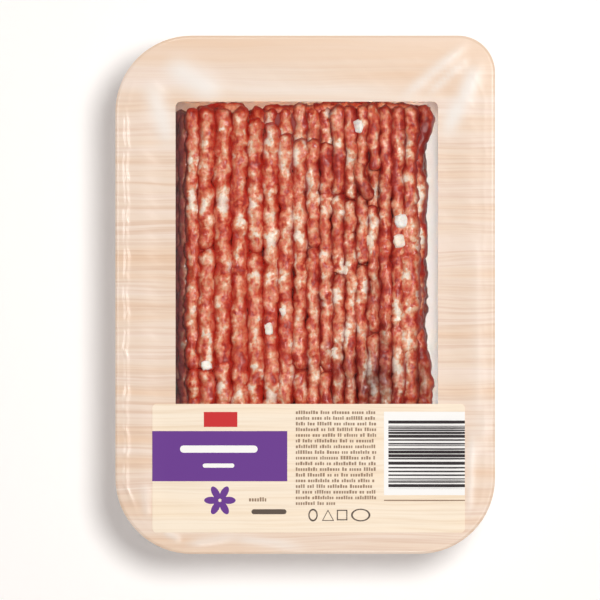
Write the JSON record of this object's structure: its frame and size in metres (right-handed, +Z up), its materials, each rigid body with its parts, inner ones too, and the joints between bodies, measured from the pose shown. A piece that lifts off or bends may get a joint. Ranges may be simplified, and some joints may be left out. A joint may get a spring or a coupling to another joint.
{
  "type": "meat tray pack",
  "caption": "Sealed white plastic tray of coarse minced meat with a wood-look printed lid film, a clear window, a peel corner and a label across one end.",
  "frame": {"origin": "under the middle of the tray, on the surface that the pack rests on", "axes": "+Z up, +Y along the pack's length towards the end without the label, +X to the right seen from the label end"},
  "size_m": [0.137, 0.187, 0.0407],
  "materials": {
    "tray_plastic": "satin white thermoformed polypropylene",
    "raw_mince": "moist raw meat, red strands with cream fat",
    "clear_film": "clear glossy lid film",
    "printed_film": "glossy film printed with pale wood grain",
    "label_paper": "semi-gloss label with colour fields"
  },
  "bodies": {
    "root": {"tray": "tray_plastic", "mince": "raw_mince", "lid_film": "clear_film", "film_print": "printed_film", "label": "label_paper"}
  },
  "joints": []
}
